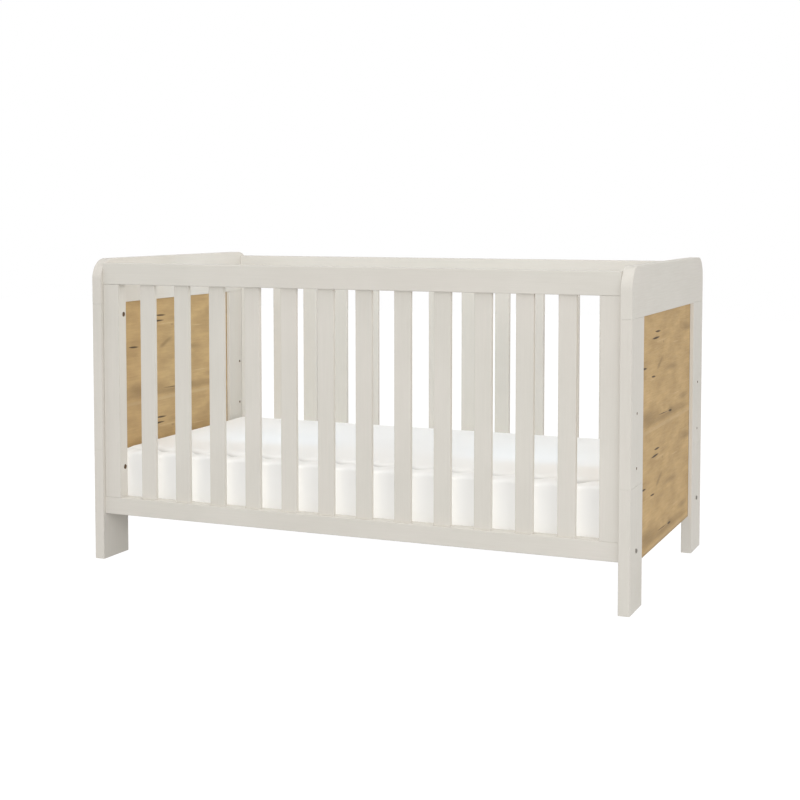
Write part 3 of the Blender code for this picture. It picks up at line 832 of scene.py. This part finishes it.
def swell(piece):
    """Fills a closed cover with air and gives its points after the last frame."""
    scene = bpy.context.scene
    air = piece.modifiers.new("air", "CLOTH")
    air.settings.quality = AIR_STEPS
    air.settings.use_pressure = True
    air.settings.uniform_pressure_force = AIR_FORCE
    air.settings.effector_weights.gravity = 0
    for frame_number in range(1, AIR_FRAMES + 1):
        scene.frame_set(frame_number)
    filled = piece.evaluated_get(bpy.context.evaluated_depsgraph_get()).data
    points = np.empty(len(filled.vertices) * 3)
    filled.vertices.foreach_get("co", points)
    piece.modifiers.remove(air)
    scene.frame_set(1)
    return points.reshape(-1, 3)


def mesh_points(mesh):
    points = np.empty(len(mesh.vertices) * 3)
    mesh.vertices.foreach_get("co", points)
    return points.reshape(-1, 3)


def bell(offset, reach):
    """exp(-(offset / reach)^2)."""
    return np.exp(-(offset / reach) ** 2)


def lay_front_roll(points, low, high):
    """A soft roll along the front edge with a crease behind it, and how far each point is in the crease.
    With bell(d, reach) = exp(-(d / reach)^2), s the way in from the front edge, L half the length and
    w = sin(2 pi (x + phase) / slat pitch), the way behind the crease is
    b = s - crease + bow * ((x - bow_at) / L)^2 - sway * w,
    a corner fold is c = bell(x - corner, corner reach), and the crease is
    k = (mean - wave * w + deeper * c) * bell(b, width * (1 + wider * c)).
    The top moves by rise * w * bell(s - roll, roll reach) - dip * bell(b, dip reach)
    - edge drop * bell(s, edge reach) - depth * k. All but the edge drop fade out at the two ends, and
    everything fades in from half the height to the top, as the smooth step t * t * (3 - 2 * t)."""
    x, y, z = points.T
    inwards = y - low[1]
    wave = np.sin(2 * math.pi * (x + ROLL_PHASE) / SLAT_PITCH)
    on_top = np.clip((z - low[2]) / (high[2] - low[2]) * 2 - 1, 0, 1)
    on_top = on_top * on_top * (3 - 2 * on_top)
    ends = np.clip((high[0] - np.abs(x)) / CREASE_ENDS, 0, 1)
    bow = CREASE_BOW * ((x - CREASE_BOW_AT) / high[0]) ** 2
    behind = inwards - CREASE_IN + bow - CREASE_SWAY * wave
    roll = ROLL_RISE * wave * bell(inwards - ROLL_IN, ROLL_REACH)
    corner = bell(x - CORNER_AT, CORNER_REACH)
    width = CREASE_WIDTH * (1 + CORNER_WIDER * corner)
    crease = (CREASE_MEAN - CREASE_WAVE * wave + CORNER_DEEPER * corner) * bell(behind, width) * ends
    drop = EDGE_DROP * bell(inwards, EDGE_REACH)
    dip = DIP_DEPTH * bell(behind, DIP_REACH)
    moved = points.copy()
    moved[:, 2] += on_top * ((roll - dip) * ends - drop - CREASE_DEPTH * crease)
    return moved, np.clip(crease * on_top, 0, 1)


def make_mattress(material):
    """A foam mattress in a stretch cover. Air swells it from a slightly smaller block, then its front roll
    and crease are laid in. It is flat only underneath, where it rests on the base."""
    low, high = (np.array(corner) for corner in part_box("mattress"))
    start_low = low + (COVER_START, COVER_START, 0)
    start_high = high + (-COVER_START, -COVER_START, COVER_PUFF)
    spans = np.round((start_high - start_low - 2 * COVER_ROUND) / COVER_CELL).astype(int)
    block = round_block(start_low, start_high, COVER_ROUND, COVER_ROUND_STEPS, spans)
    mesh = closed_mesh("mattress_cover", block)
    mesh.materials.append(material)
    piece = make_piece("foam_mattress", mesh, "mattress", "mattress_cover", "mattress")
    before = mesh_points(mesh)
    step = swell(piece) - before
    size = np.linalg.norm(step, axis=1, keepdims=True)
    tiny = 1e-9
    step *= np.minimum(1.0, COVER_MOST / np.maximum(size, tiny))
    mesh.vertices.foreach_set("co", np.clip(before + step, low, high + (0, 0, COVER_MOST)).ravel())
    smooth = piece.modifiers.new("smooth cover", "SUBSURF")
    smooth.levels = smooth.render_levels = 1
    finer = bpy.data.meshes.new_from_object(piece.evaluated_get(bpy.context.evaluated_depsgraph_get()))
    piece.modifiers.remove(smooth)
    piece.data = finer
    laid, crease = lay_front_roll(mesh_points(finer), low, high)
    finer.vertices.foreach_set("co", laid.ravel())
    # the crease mask is kept on the cover for its painted shade in the crease
    finer.attributes.new("crease", "FLOAT", "POINT").data.foreach_set("value", crease)
    finer.update()
    finer.shade_smooth()


def finish_nodes(looks):
    """Gives each CAD node the material of the first ending that its name has."""
    for name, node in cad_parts.items():
        for ending, material in looks:
            if name.endswith(ending):
                node.data.materials.clear()
                node.data.materials.append(material)
                break


def hole_lines(names, radius):
    """The off-middle place, height and radius of the holes that pieces such as bolts sit in."""
    middles = [(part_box(name)[0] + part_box(name)[1]) / 2 for name in names]
    return [(abs(middle.y), middle.z, radius) for middle in middles]


BASE_HOLE_STEPS = (0.0, 0.193, 0.321)
BASE_HOLE_RADIUS = 0.0037
SINK_RADIUS = 0.0064


def make_crib():
    ((off_middle, lowest, _),) = hole_lines(["right_front_base_bolt"], 0)
    base_holes = [(off_middle, lowest + step, BASE_HOLE_RADIUS) for step in BASE_HOLE_STEPS]
    side_holes = hole_lines(["front_right_side_bolt_lower", "front_right_side_bolt_upper"], SINK_RADIUS)
    slats = painted_wood("white_paint_slats", "upright")
    posts = painted_wood("white_paint_posts", "upright", base_holes)
    stiles = painted_wood("white_paint_stiles", "upright", side_holes)
    lengthwise = painted_wood("white_paint_rails", "lengthwise")
    crosswise = painted_wood("white_paint_end_rails", "crosswise")
    bearers = base_wood("base_wood_bearers", "lengthwise")
    cross_bearers = base_wood("base_wood_cross_bearers", "crosswise")
    steel = burnished_steel()
    finish_nodes((
        ("end_panel", oak_boards()),
        ("post", posts),
        ("stile", stiles),
        ("end_rail", crosswise),
        ("base_left_rail", cross_bearers),
        ("base_right_rail", cross_bearers),
        ("base_centre_rail", cross_bearers),
        ("base_front_rail", bearers),
        ("base_rear_rail", bearers),
        ("base_deck", bearers),
        ("_rail", lengthwise),
    ))
    for side in ("front", "rear"):
        make_slats(side, slats)
    make_bolts(steel)
    make_mattress(knitted_cover())


make_camera()
make_surroundings()
make_crib()
